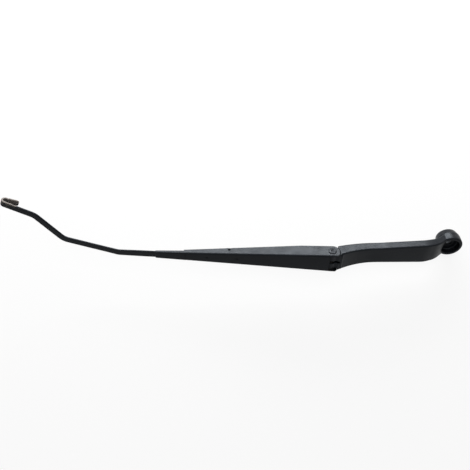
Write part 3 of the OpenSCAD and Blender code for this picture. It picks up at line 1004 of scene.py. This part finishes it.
@dataclass
class Channel:
    """Folded sheet channel with ears, bent tabs and a crimped nose."""

    hinge: Hinge
    bar: FlatBar
    width: float = 29.0
    length: float = 219.0
    fold: float = 2.0
    rise: float = 8.2
    side: float = 16.8
    side_full: float = 38.0
    side_end: float = 6.0
    nose: float = 37.5
    nose_root_w: float = 13.6
    nose_tip_w: float = 10.9
    nose_h: float = 5.5
    nose_fall: float = 0.25
    nose_lift: float = 1.0
    nose_round: float = 1.7
    nose_laps: Pair = (1.0, 1.5)
    nose_entry: Pair = (3.0, 6.0)
    tip_pinch: Pair = (0.5, 0.25)
    seam: float = 0.7
    near: tuple[float, ...] = (-4.0, 0.0, 6.0, 16.0)
    ear: float = 8.6
    ear_corner: float = 7.6
    ear_reach: float = 9.45
    ear_dip: float = 0.09
    ear_back: float = 0.5
    setback: float = 2.8
    tab_at: float = 126.6
    tab_len: float = 5.4
    tab_h: float = 4.3
    notch_end: float = 1.08
    notch_drop: float = 1.0
    tab_root: float = 0.9
    tab_bend: float = 1.5
    tab_lap: float = 0.6
    tab_inset: float = 0.1
    edge_breaks: Pair = (0.22, 0.2)
    edge_angle: float = 32.0
    edge_steps: int = 3

    def root(self) -> float:
        """Returns the distance from the pin to the nose."""
        return self.length - self.nose

    def widths(self, u: Values) -> Values:
        """Returns the channel's outer width at distances from the pin."""
        return self.width + (self.nose_root_w - self.width) * np.clip(u, 0, None) / self.root()

    def edges(self, u: Values) -> Values:
        """Returns the level of the side walls' edges at distances from the pin."""
        t = np.clip((u - self.side_full) / (self.root() - self.side_full), 0, 1)
        return self.rise - self.side - (self.side_end - self.side) * t

    def skinned(self, name: str, u: Array, outer: Array, inner: Array) -> Piece:
        """Lofts a sheet from its outer and inner lines at distances from the pin."""
        ring = np.concatenate([outer, inner], axis=1)
        return loft(name, self.hinge.arm().put(points_from(-u, ring[..., 0], ring[..., 1])))

    def walls(self) -> Piece:
        """Lofts the folded sheet from the ears to the nose.

        Each ring runs up the outer side of one wall, over the face and down the
        other, then back along the inner side, one sheet thickness within.

        Returns:
            The closed piece.
        """
        far = np.linspace(self.side_full, self.root() + self.nose_laps[1], 48)
        u = np.concatenate([[-self.ear], self.near, far])[:, None]

        def skin(inset: float) -> Array:
            """Draws each ring's points on one skin, from wall edge to wall edge.

            Args:
                inset: Depth under the outer skin.

            Returns:
                The points of each ring.
            """
            r, y = self.fold - inset, inset - self.widths(u) / 2
            corner = arc(r, 180, 90, 9, (y + r, self.rise - inset - r))
            return with_mirror(np.concatenate([points_from(y, self.edges(u)), corner], axis=1))

        return self.skinned("channel_sheet", u, skin(0.0), skin(self.bar.sheet)[:, ::-1])

    def nose_wrap(self) -> Piece:
        """Lofts the crimped nose, closed round the bar but for a seam below.

        The outer outline is a rounded box that narrows to the tip. The inner one
        is the bar's own outline. Both stop at the seam and join there.

        Returns:
            The closed piece.
        """
        root, r = self.root(), self.nose_round
        (entry_end, run_start), (pinch_len, pinch) = self.nose_entry, self.tip_pinch
        entry = np.linspace(root - self.nose_laps[0], root + entry_end, 6)
        run = np.linspace(root + run_start, self.length - pinch_len, 10)
        u = np.concatenate([entry, run, [self.length]])[:, None]
        t = np.clip((u - root) / self.nose, 0, 1)
        pinch = np.where(u >= self.length, pinch, 0.0)
        half = (self.nose_root_w + (self.nose_tip_w - self.nose_root_w) * t) / 2 - pinch
        top = self.rise - self.nose_fall * t - pinch
        low = self.rise - self.nose_h + self.nose_lift * t + pinch
        outer = with_mirror(np.concatenate([
            points_from(self.seam, low), arc(r, -90, 0, 7, (half - r, low + r)),
            arc(r, 0, 90, 7, (half - r, top - r)),
        ], axis=1))
        bar, edge = self.bar, self.bar.thick / 2
        inner = with_mirror(np.concatenate([
            [[self.seam, bar.height - edge]],
            arc(edge, -90, 90, 13, (bar.wide / 2 - edge, bar.height)),
        ]))[::-1]
        return self.skinned("nose", u, outer, np.broadcast_to(inner, (len(u), *inner.shape)))

    def ear_cuts(self) -> list[Piece]:
        """Makes the pieces cut away round the ears, at the pin and at the tabs.

        Returns:
            The pieces to cut out.
        """
        arm, free = self.hinge.arm(), self.ear_reach
        r, top = self.ear_corner, self.rise - self.ear_dip
        cx = self.ear - r
        first = math.degrees(math.acos(self.ear / free))
        last = math.degrees(math.asin(top / free)) - self.hinge.droop
        back, far = self.ear_back, THROUGH
        outside = [[back, top], [back, far], [far, far], [far, -far], [cx, -far]]
        ends = np.concatenate([
            arc(r, -90, 0, 14, (cx, self.edges(0.0) + r)), arc(free, first, last, 12), outside
        ])
        inner = self.width / 2 - self.bar.sheet
        mouth = rectangle(-self.setback, THROUGH, -inner, inner)
        base, x = self.edges(self.tab_at), -self.tab_at
        wide, narrow, low = self.tab_len / 2, self.notch_end, base - self.notch_drop
        notch = [
            [x - wide, low], [x + wide, low],
            [x + narrow, base + self.tab_h], [x - narrow, base + self.tab_h],
        ]
        return [
            slab("corner", ends, (-THROUGH, THROUGH), Axis.Y, arm),
            slab("opening", mouth, (0.0, THROUGH), Axis.Z, arm),
            rod("hole", self.hinge.pin_r, Axis.Y, arm),
            slab("lanced", notch, (-THROUGH, THROUGH), Axis.Y, arm),
        ]

    def tabs(self) -> list[Piece]:
        """Makes the two tabs, bent in from the walls' edges to the bar's underside.

        Returns:
            Both tabs.
        """
        outer, base = self.widths(self.tab_at) / 2 - self.tab_inset, self.edges(self.tab_at)
        top, inner = self.bar.height - self.bar.thick / 2, self.bar.wide / 4
        knee, half = inner + self.tab_bend, self.tab_len / 2 + self.tab_lap
        under = top - self.bar.sheet
        strip = np.array([
            [outer, base], [knee, under], [inner, under], [inner, top], [knee, top],
            [outer, base + self.tab_root],
        ])
        ends = (-self.tab_at - half, -self.tab_at + half)
        sides = (strip * np.array([side, 1.0]) for side in (-1.0, 1.0))
        return [slab("tab", side, ends, Axis.X, self.hinge.arm()) for side in sides]

    def build(self, finish: Finish) -> None:
        """Cuts the folded sheet, adds its tabs and nose, and breaks its edges.

        Args:
            finish: The sheet's coating.
        """
        body = combined(self.walls(), self.ear_cuts(), Step.CUT)
        combined(body, self.tabs(), Step.ADD)
        merged(*(
            softened(piece, width, self.edge_angle, self.edge_steps)
            for piece, width in zip((body, self.nose_wrap()), self.edge_breaks)
        ))
        dress(body, finish, "channel_paint", Body.ARM, "retainer_channel")


@dataclass
class HookBar:
    """Flat bar: joggled tail, three sideways bends and the blade hook."""

    hinge: Hinge
    bar: FlatBar
    legs: tuple[float, float, float, float] = (266.0, 68.0, 46.0, 40.15)
    bends: Triple = (16.8, 37.8, 27.9)
    bend_r: float = 16.0
    gap: float = 4.0
    flare: float = 9.5
    back: float = 14.8
    tip_round: float = 3.0
    broader: float = 0.17
    broad_from: float = 280.0
    broad_run: float = 46.0
    broad_end: float = 217.0
    hook_across: Triple = (0.449, 0.893, 0.0)
    wear_run: Pair = (6.0, 16.0)
    wear_edge: Pair = (0.66, 0.26)
    wear_leg: Pair = (0.10, 0.35)
    wear_share: Triple = (0.10, 0.82, 1.1)
    leg_run: float = 4.0
    step: float = 3.0
    step_angle: float = 5.0
    hole_r: float = 1.62
    rivet_at: Pair = (117.0, 153.5)
    rivet_r: float = 1.7
    rivet_head: Pair = (2.9, 1.1)
    rivet_round: Triple = (0.8, 0.85, 0.3)
    edge_break: float = 0.35
    edge_angle: float = 50.0

    def path(self) -> Array:
        """Walks along the bar's runs: a straight, then an arc, seven times.

        An arc's point is its centre plus the arm from centre to start, turned
        about the bending axis by an even share of the bend.

        Returns:
            Points of the centre line in the arm's frame, tail first.
        """
        back = [self.bend_r * math.tan(math.radians(bend) / 2) for bend in self.bends]
        bar, hook_r = self.bar, (self.gap + self.bar.thick) / 2
        tail, leg = bar.tail_start()
        a, (b0, b1, b2) = bar.tail_angle, self.bends
        runs = [
            (bar.tail_len, -a, bar.joggle_r, True),
            (leg, a, bar.joggle_r, True),
            (self.legs[0] - bar.tail_reach - back[0], b0, self.bend_r, False),
            (self.legs[1] - back[0] - back[1], b1, self.bend_r, False),
            (self.legs[2] - back[1] - back[2], -b2, self.bend_r, False),
            (self.legs[3] - back[2] - hook_r - bar.thick / 2, 180.0 - self.flare, hook_r, True),
            (self.back - self.tip_round, 0.0, 0.0, True),
        ]
        p = np.array([-tail, 0.0, bar.height - bar.tail_drop])
        d, n = np.array([-1.0, 0.0, 0.0]), UPWARD
        points = [p[None]]
        for length, angle, radius, flat in runs:
            steps = max(2, int(length / self.step))
            points.append(p + d * np.linspace(0, length, steps + 1)[1:, None])
            p = p + d * length
            if angle:
                axis = np.cross(n, d) if flat else -n
                arm = math.copysign(radius, angle) * np.cross(axis, d)
                steps = max(4, int(abs(angle) / self.step_angle))
                angles = np.linspace(0, angle, steps + 1)[1:, None]
                points.append(p + arm - spin(arm, axis, angles))
                p, d, n = points[-1][-1], spin(d, axis, angle), spin(n, axis, angle)
        tip = self.tip_round * np.sin(np.radians(np.linspace(0, 90, 10)[1:]))
        return np.concatenate([*points, p + d * tip[:, None]])

    def shares(self, path: Array) -> Array:
        """Works out how broad the bar is along its path.

        Both corners of the return leg's tip are quarter circles, so over their
        radius the half width falls as the square root of a square does. From the
        end of the channel to the first bend the bar grows evenly broader.

        Args:
            path: Points of the centre line.

        Returns:
            Width at each point, as a share of the full width.
        """
        left = np.linalg.norm(path - path[-1], axis=1)
        left[: len(path) // 2] = np.inf
        within = np.clip(1.0 - left / self.tip_round, 0.0, 1.0)
        cut = 2.0 * self.tip_round * (1.0 - np.sqrt(1.0 - within**2)) / self.bar.wide
        x = path[:, 0]
        broad = self.broader * np.clip((self.broad_from + x) / self.broad_run, 0.0, 1.0)
        return 1.0 + np.where(x > -self.broad_end, 0.0, broad) - cut

    def rubbed(self, obj: Piece) -> Array:
        """Says how far the coating is rubbed off at each point.

        Each point belongs to the nearest point of the centre line. The wear grows
        over the last part of the line, and with the distance from the line across
        the bar, so the edges are bare and the flats are not. The outer half of the
        return leg is bare too, where the blade has rubbed.

        Args:
            obj: The bent bar.

        Returns:
            Wear at each point, 0 for none.
        """
        path = self.hinge.arm().put(self.path())
        points = np.empty(len(obj.data.vertices) * 3, dtype=np.float32)
        obj.data.vertices.foreach_get("co", points)
        points = points.reshape(-1, 3).astype(float) / MM
        away = np.linalg.norm(points[:, None] - path[None], axis=2)
        nearest = away.argmin(axis=1)
        left = lengths_along(path[::-1])[::-1][nearest]
        half, turn = self.bar.wide / 2, math.pi * (self.gap + self.bar.thick) / 2
        across = (points - path[nearest]) @ np.array(self.hook_across) / half
        (full, fade), (rim, rim_fade) = self.wear_run, self.wear_edge
        near, near_fade = self.wear_leg
        hook = np.clip(1.0 - (left - self.back - turn - full) / fade, 0, 1)
        edge = np.clip((away.min(axis=1) / half - rim) / rim_fade, 0, 1)
        leg = np.clip((self.back - left) / self.leg_run, 0, 1)
        leg = leg * np.clip((across + near) / near_fade, 0, 1)
        flat, rims, most = self.wear_share
        return hook * np.maximum(flat + rims * edge, most * leg)

    def rivets(self) -> Piece:
        """Spins the rivets that hold the bar in the channel.

        Returns:
            Both rivets in one piece.
        """
        r, (head_r, head_t) = self.rivet_r, self.rivet_head
        flat, deep, rim = self.rivet_round
        under = self.bar.height - self.bar.thick / 2
        top = under + self.bar.thick + self.bar.sheet
        profile = [
            [r, under - head_t], [head_r * flat, under - head_t * deep],
            [head_r, under - head_t * rim], [head_r, under], [r, under], [r, top], [r * flat, top],
        ]
        places = (self.hinge.arm().at(-at, 0.0) for at in self.rivet_at)
        return merged(*(turned("closing_rivets", profile, Axis.Z, place, 40) for place in places))

    def build(self, finish: Finish, rivet_finish: Finish) -> None:
        """Sweeps the bar, drills its tail and sets its rivets.

        Args:
            finish: The bar's coating.
            rivet_finish: The rivets' coating.
        """
        arm, path, edge = self.hinge.arm(), self.path(), self.bar.thick / 2
        outline = arc(edge, 0, 180, 14, (0.0, self.bar.wide / 2 - edge))
        outline = np.concatenate([outline, -outline])
        bar = swept("bar_bent", path, outline, arm, self.shares(path))
        drill = rod("drill", self.hole_r, Axis.Z, arm.at(*self.bar.hole()), sides=32)
        softened(combined(bar, [drill], Step.CUT), self.edge_break, self.edge_angle)
        mark(bar, "rubbed", self.rubbed(bar))
        dress(bar, finish, "bar_paint", Body.ARM, "hook_bar")
        dress(self.rivets(), rivet_finish, "channel_paint", Body.ARM, "bar_rivets")


@dataclass
class HingeParts:
    """Hinge rivet, its two bushes, and the anchor pin of the spring line."""

    hinge: Hinge
    half: float = 14.5
    head_r: float = 5.0
    head_t: float = 1.15
    head_land: float = 0.5
    dimple: Pair = (2.3, 0.95)
    dimple_end: float = 0.03
    dome: Triple = (0.22, 0.60, 0.18)
    play: float = 0.04
    flange: Pair = (5.6, 0.7)
    bush_cuts: Triple = (0.2, 0.15, 0.25)
    chamfer: float = 0.3
    edge_breaks: Triple = (0.12, 0.08, 0.1)

    def rivet(self) -> Piece:
        """Spins the rivet: shank, domed heads and a dimple in each head.

        The dome rises as a quarter ellipse from the head's rim, and the dimple
        falls as a parabola to its middle.

        Returns:
            The closed piece.
        """
        (dimple_r, dimple_d), (low, swell, tilt) = self.dimple, self.dome
        high = self.head_t
        cos, sin = arc(1.0, 0, 90, 8).T
        dome_r = self.head_r - (self.head_r - dimple_r - self.head_land) * (1 - cos)
        dome = points_from(dome_r, high * (low + swell * sin + tilt * (1 - cos)))
        fall = np.linspace(1.0, self.dimple_end, 8)
        dish = points_from(dimple_r * fall, high - dimple_d * (1 - fall**2))
        head = np.concatenate([[[self.head_r, 0.0]], dome, dish]) + np.array([0.0, self.half])
        r = self.hinge.pin_r
        shank = [[r, -self.half], [r, self.half]]
        profile = np.concatenate([(head * np.array([1.0, -1.0]))[::-1], shank, head])
        return turned("hinge_rivet", profile, Axis.Y, self.hinge.level(), 72)

    def bushes(self) -> list[Piece]:
        """Spins the two flanged bushes.

        Returns:
            The left and the right bush.
        """
        r, bore, (rim, thick) = self.hinge.bush_r, self.hinge.pin_r + self.play, self.flange
        a, b = self.hinge.slot_half, self.hinge.knuckle_half
        c, (end, edge, mouth) = b + thick, self.bush_cuts
        profile = np.array([
            [bore, a], [r - end, a], [r, a + end], [r, b], [rim, b], [rim, c - edge],
            [rim - edge, c], [bore + mouth, c], [bore, c - mouth],
        ])
        made = []
        for side, name in ((1.0, "bush_left"), (-1.0, "bush_right")):
            section = profile * np.array([1.0, side])
            ring = turned(name, section, Axis.Y, self.hinge.level(), joined=True)
            made.append(softened(ring, self.edge_breaks[1]))
        return made

    def anchor(self) -> Piece:
        """Spins the anchor pin with chamfered ends.

        Returns:
            The closed piece.
        """
        r, cut = self.hinge.anchor_r, self.chamfer
        end = self.hinge.slot_half + self.hinge.anchor_grip
        profile = [[r - cut, -end], [r, cut - end], [r, end - cut], [r - cut, end]]
        return turned("anchor", profile, Axis.Y, self.hinge.level().at(*self.hinge.anchor()), 40)

    def build(self, rivet: Finish, bush: Finish, pin: Finish) -> None:
        """Makes and dresses the parts of the hinge.

        Args:
            rivet: The rivet's metal.
            bush: The bushes' metal.
            pin: The pin's metal.
        """
        shank = softened(self.rivet(), self.edge_breaks[0])
        dress(shank, rivet, "rivet_steel", Body.ARM, "hinge_pin")
        for ring in self.bushes():
            dress(ring, bush, "bush_bronze", Body.HEAD, "hinge_" + ring.name)
        anchor = softened(self.anchor(), self.edge_breaks[2])
        dress(anchor, pin, "pin_steel", Body.HEAD, "anchor_pin")


@dataclass
class SpringLine:
    """Curved link round the hinge pin, and the tension spring that it pulls."""

    hinge: Hinge
    thick: float = 2.5
    curve_w: float = 2.8
    room: float = 0.6
    eye_room: float = 0.4
    hole_wall: float = 1.5
    curve_share: float = 0.93
    length: float = 26.0
    wire: float = 0.95
    coil_r: float = 4.2
    turns: int = 20
    turn_steps: int = 24
    wire_step: float = 0.9
    loop_r: float = 2.8
    loop_run: float = 1.5
    play: float = 0.35
    anchor_play: float = 0.04
    edge_break: float = 0.3

    def hole_r(self) -> float:
        """Returns the radius of the link's hole, which the loop's bend passes."""
        bow = self.loop_r - math.sqrt(self.loop_r**2 - self.thick**2 / 4)
        return self.wire + self.play + bow

    def link_outline(self) -> Array:
        """Draws the link: eye, curve below the hinge pin, and straight end.

        The curve is half a ring about the point of the line nearest to the pin.
        The eye and the end are circles, and the outline runs round all of them once.

        Returns:
            Points of the outline in the spring's own frame.
        """
        a = math.radians(self.hinge.line()[0].turn)
        x, z = self.hinge.anchor()
        centre = z * math.sin(a) - x * math.cos(a)
        inner = abs(x * math.sin(a) + z * math.cos(a)) + self.hinge.pin_r + self.room
        outer = inner + self.curve_w
        eye = self.hinge.anchor_reach - self.hinge.pin_r - self.eye_room
        end = self.hole_r() + self.hole_wall

        def beyond_eye(points: Array) -> Array:
            """Keeps the points outside the eye's circle."""
            return points[np.hypot(points[:, 0], points[:, 1]) > eye]

        low = beyond_eye(arc(outer, -180, 0, 40, (centre, 0.0)))
        return np.concatenate([
            arc(eye, -60, 205, 30),
            beyond_eye(arc(inner, 0, -180, 40, (centre, 0.0))),
            [[centre - inner, end]],
            arc(end, 90, 270, 20, (-self.length, 0.0)),
            low[low[:, 0] > centre - outer * self.curve_share],
        ])

    def link(self) -> Piece:
        """Cuts the link from plate, with its two holes.

        Returns:
            The closed piece.
        """
        place, _ = self.hinge.line()
        half = self.thick / 2
        plate = slab("link_plate", self.link_outline(), (-half, half), Axis.Y, place)
        holes = ((0.0, self.hinge.anchor_r + self.anchor_play), (-self.length, self.hole_r()))
        drills = [rod("hole", r, Axis.Y, place.at(x, 0.0), sides=36) for x, r in holes]
        return softened(combined(plate, drills, Step.CUT), self.edge_break)

    def spring_path(self, total: float) -> Array:
        """Works out the spring's centre line, from the link's loop to the bar's.

        The coil turns evenly while it moves along the line. Each end loop is an
        arc about a point on the line, a quarter turn apart, and points at even
        distances blend the loops into the coil.

        Args:
            total: Distance from the anchor to the bar's hole.

        Returns:
            Points of the centre line.
        """
        ends = 2 * self.loop_r + self.loop_run
        start, end = self.length + ends, total - ends
        c, s = arc(self.loop_r, 300, 95, 30).T
        first = points_from(-(self.length + self.loop_r + c), s, 0.0)
        c, s = arc(self.loop_r, 85, -120, 30).T
        last = points_from(-(total - self.loop_r + c), 0.0, s)
        share = np.linspace(0, 1, self.turn_steps * self.turns + self.turn_steps // 4 + 1)
        turn = 2 * math.pi * (self.turns + 0.25) * share
        y, z = self.coil_r * np.cos(turn), self.coil_r * np.sin(turn)
        coil = points_from(-(start + (end - start) * share), y, z)
        path = np.concatenate([first, coil[1:-1], last])
        done = lengths_along(path)
        even = np.linspace(0, done[-1], int(done[-1] / self.wire_step))
        return points_from(*(np.interp(even, done, column) for column in path.T))

    def build(self, link: Finish, spring: Finish) -> None:
        """Makes and dresses the link and the spring.

        Args:
            link: The link's metal.
            spring: The wire's metal.
        """
        place, total = self.hinge.line()
        dress(self.link(), link, "link_steel", Body.SPRING, "spring_link")
        wire = swept("spring_coil", self.spring_path(total), arc(self.wire, 0, 360, 13)[:-1], place)
        dress(wire, spring, "spring_steel", Body.SPRING, "tension_spring")


def set_up(name: str, data: bpy.types.ID, axes: Iterable[Array], at: Array) -> Piece:
    """Adds a camera or lamp to the scene.

    Args:
        name: Its name.
        data: Its settings.
        axes: Its own x, y and z directions.
        at: Where it stands.

    Returns:
        The object.
    """
    obj = bpy.data.objects.new(name, data)
    bpy.context.scene.collection.objects.link(obj)
    placed = np.eye(4)
    placed[:3, :3], placed[:3, 3] = np.stack(axes, axis=1), at * MM
    obj.matrix_world = Matrix(placed)
    return obj


@dataclass(frozen=True)
class SoftLight:
    """A soft rectangular light that faces a point.

    It hangs `up` towards the picture's top and `back` towards the camera from
    that point. Its size is its length along X and its width.
    """

    name: str
    aim: Triple
    up: float
    back: float
    size: Pair
    watts: float

    def hang(self, up: Array, back: Array) -> None:
        """Hangs the light.

        Args:
            up: Direction of the picture's top.
            back: Direction of the camera.
        """
        data = bpy.data.lights.new(self.name, "AREA")
        data.shape, data.energy = "RECTANGLE", self.watts
        data.size, data.size_y = self.size[0] * MM, self.size[1] * MM
        away = self.up * up + self.back * back
        z = unit(away)
        x = unit(np.array([1.0, 0.0, 0.0]) - z * z[0])
        set_up(self.name, data, (x, np.cross(z, x), z), np.array(self.aim) + away)


@dataclass
class Studio:
    """Pale table, soft lights and the camera."""

    eye: Triple = (-273.3, 463.3, 449.8)
    tilt: float = 45.0
    sensor: float = 36.0
    focal_px: float = 504.0
    frame_px: float = 470.0
    table_middle: Triple = (-270.0, 0.0, 0.0)
    table_half: float = 1500.0
    table_gap: float = 15.2
    table_grey: float = 0.86
    plain_share: float = 0.87
    ambient: float = 0.08
    backdrop: float = 0.93
    lamps: tuple[SoftLight, ...] = (
        SoftLight("key", (-405.0, 0.0, 15.0), 900.0, 165.0, (1230.0, 340.0), 34.0),
        SoftLight("fill", (-270.0, 0.0, 15.0), 500.0, 1200.0, (1400.0, 900.0), 9.0),
    )

    def axes(self) -> tuple[Array, Array, Array]:
        """Works out the directions of the photograph's view.

        Returns:
            The picture's right, its top, and the direction of the camera.
        """
        a = math.radians(self.tilt)
        top, back = (0.0, math.cos(a), -math.sin(a)), (0.0, math.sin(a), math.cos(a))
        return np.array([1.0, 0.0, 0.0]), np.array(top), np.array(back)

    def camera(self) -> None:
        """Sets the camera at the photograph's angle."""
        data = bpy.data.cameras.new("camera")
        data.sensor_width = self.sensor
        data.lens = self.sensor * self.focal_px / self.frame_px
        data.clip_start, data.clip_end = 0.01, 20.0
        bpy.context.scene.camera = set_up("camera", data, self.axes(), np.array(self.eye))

    def table(self) -> None:
        """Lays the pale table behind the arm, square to the camera."""
        right, up, back = self.axes()
        flat = rectangle(-self.table_half, self.table_half, -self.table_half, self.table_half)
        centre = np.array(self.table_middle) - back * self.table_gap
        corners = centre + flat[:, :1] * right + flat[:, 1:] * up
        plane = mesh_from("table", corners, np.array([[0, 1, 2, 3]]))
        plane.data.materials.append(self.table_finish())

    def table_finish(self) -> Finish:
        """Makes the table's white: partly lit, so that it keeps the shadow.

        The table can't be seen from behind.

        Returns:
            The material.
        """
        n = Nodes(bpy.data.materials.new("pale_table"))
        n.tree.nodes.clear()
        lit = n.add("BsdfDiffuse", {"Color": (self.table_grey,) * 3})
        plain = n.add("Emission", {"Strength": 1.0})
        share = n.math("MULTIPLY", n.seen(), self.plain_share)
        white = n.add("MixShader", {0: share, 1: lit, 2: plain})
        behind = n.node("NewGeometry").outputs["Backfacing"]
        clear = n.node("BsdfTransparent").outputs[0]
        front = n.add("MixShader", {0: behind, 1: white, 2: clear})
        n.fill(n.node("OutputMaterial"), {"Surface": front})
        return n.owner

    def lights(self) -> None:
        """Hangs the lamps and sets a white world that lights the arm only weakly."""
        _, up, back = self.axes()
        for lamp in self.lamps:
            lamp.hang(up, back)
        n = Nodes(bpy.data.worlds.new("studio"))
        strength = n.span(n.seen(), 0.0, 1.0, self.ambient, self.backdrop)
        n.fill(n.tree.nodes["Background"], {"Color": (1.0, 1.0, 1.0), "Strength": strength})
        bpy.context.scene.world = n.owner

    def build(self) -> None:
        """Sets table, lights, camera and the plain view transform."""
        self.table()
        self.lights()
        self.camera()
        bpy.context.scene.view_settings.view_transform = "Standard"


def main() -> None:
    """Builds the arm from the spindle to the hook, then the studio."""
    logging.basicConfig(level=logging.INFO, format="%(name)s %(message)s")
    bar = FlatBar()
    hinge = Hinge(bar.hole())
    finishes = Finishes()
    channel_black = finishes.channel.make()
    MountingHead(hinge).build(finishes.head.make())
    Channel(hinge, bar).build(channel_black)
    HookBar(hinge, bar).build(finishes.bar.make(), channel_black)
    HingeParts(hinge).build(finishes.rivet.make(), finishes.bush.make(), finishes.pin.make())
    SpringLine(hinge).build(finishes.link.make(), finishes.spring.make())
    Studio().build()


if __name__ == "__main__":
    main()
